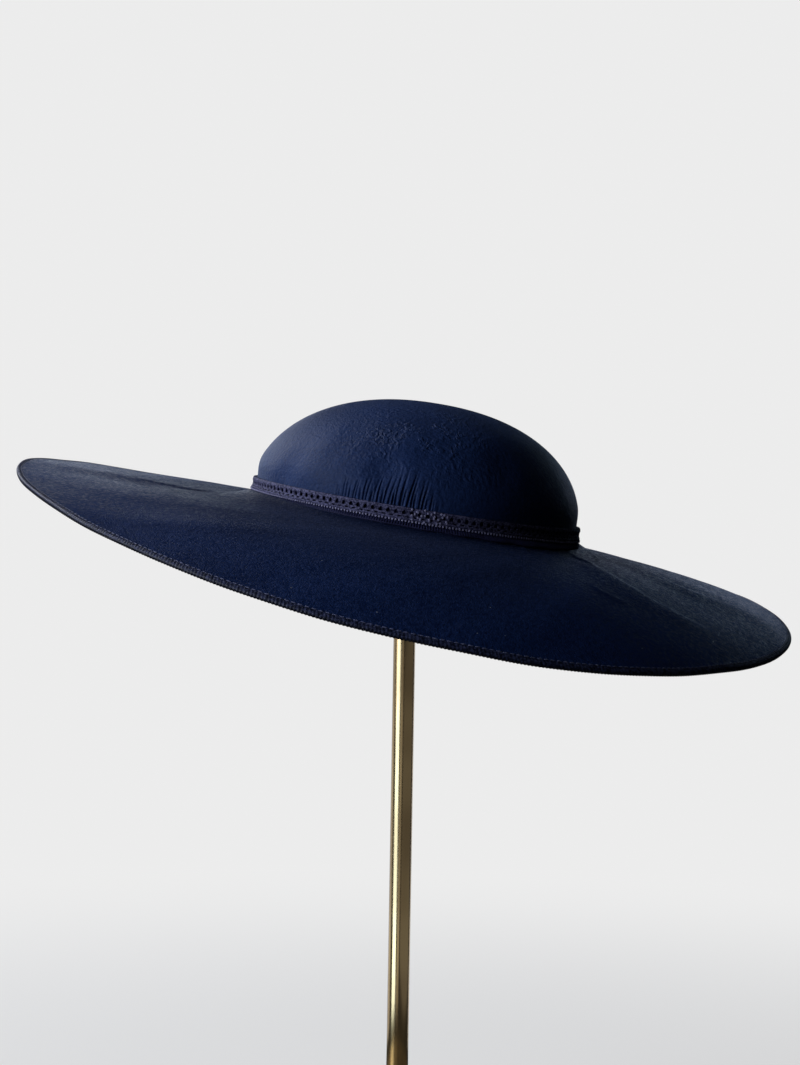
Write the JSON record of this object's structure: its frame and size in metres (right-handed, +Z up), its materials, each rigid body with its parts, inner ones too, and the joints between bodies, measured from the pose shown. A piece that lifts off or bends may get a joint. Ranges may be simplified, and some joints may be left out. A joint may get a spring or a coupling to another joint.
{
  "type": "wide-brim hat on a stand",
  "caption": "Dark felt hat with a low round crown, a very wide drooping brim and a narrow braided band, tilted on a plain brass hat stand.",
  "frame": {"origin": "centre of the stand's underside, on the pole's axis", "axes": "+Z up along the pole; the hat's front faces -Y, turned and tipped towards +X"},
  "size_m": [0.4209, 0.4434, 0.4032],
  "materials": {
    "crown_felt": "dark navy felt, pressed smooth with a soft sheen and a fine crinkled grain",
    "brim_felt": "dark navy felt, matt and suede-like",
    "ribbon": "finely ribbed navy ribbon",
    "braid": "openwork navy braid with a looped edge",
    "brass": "satin antique brass"
  },
  "bodies": {
    "root": {"crown": "crown_felt", "brim": "brim_felt", "hat_band": "ribbon", "band_braid": "braid", "stand_pole": "brass", "stand_rest": "brass", "stand_base": "brass"}
  },
  "joints": []
}
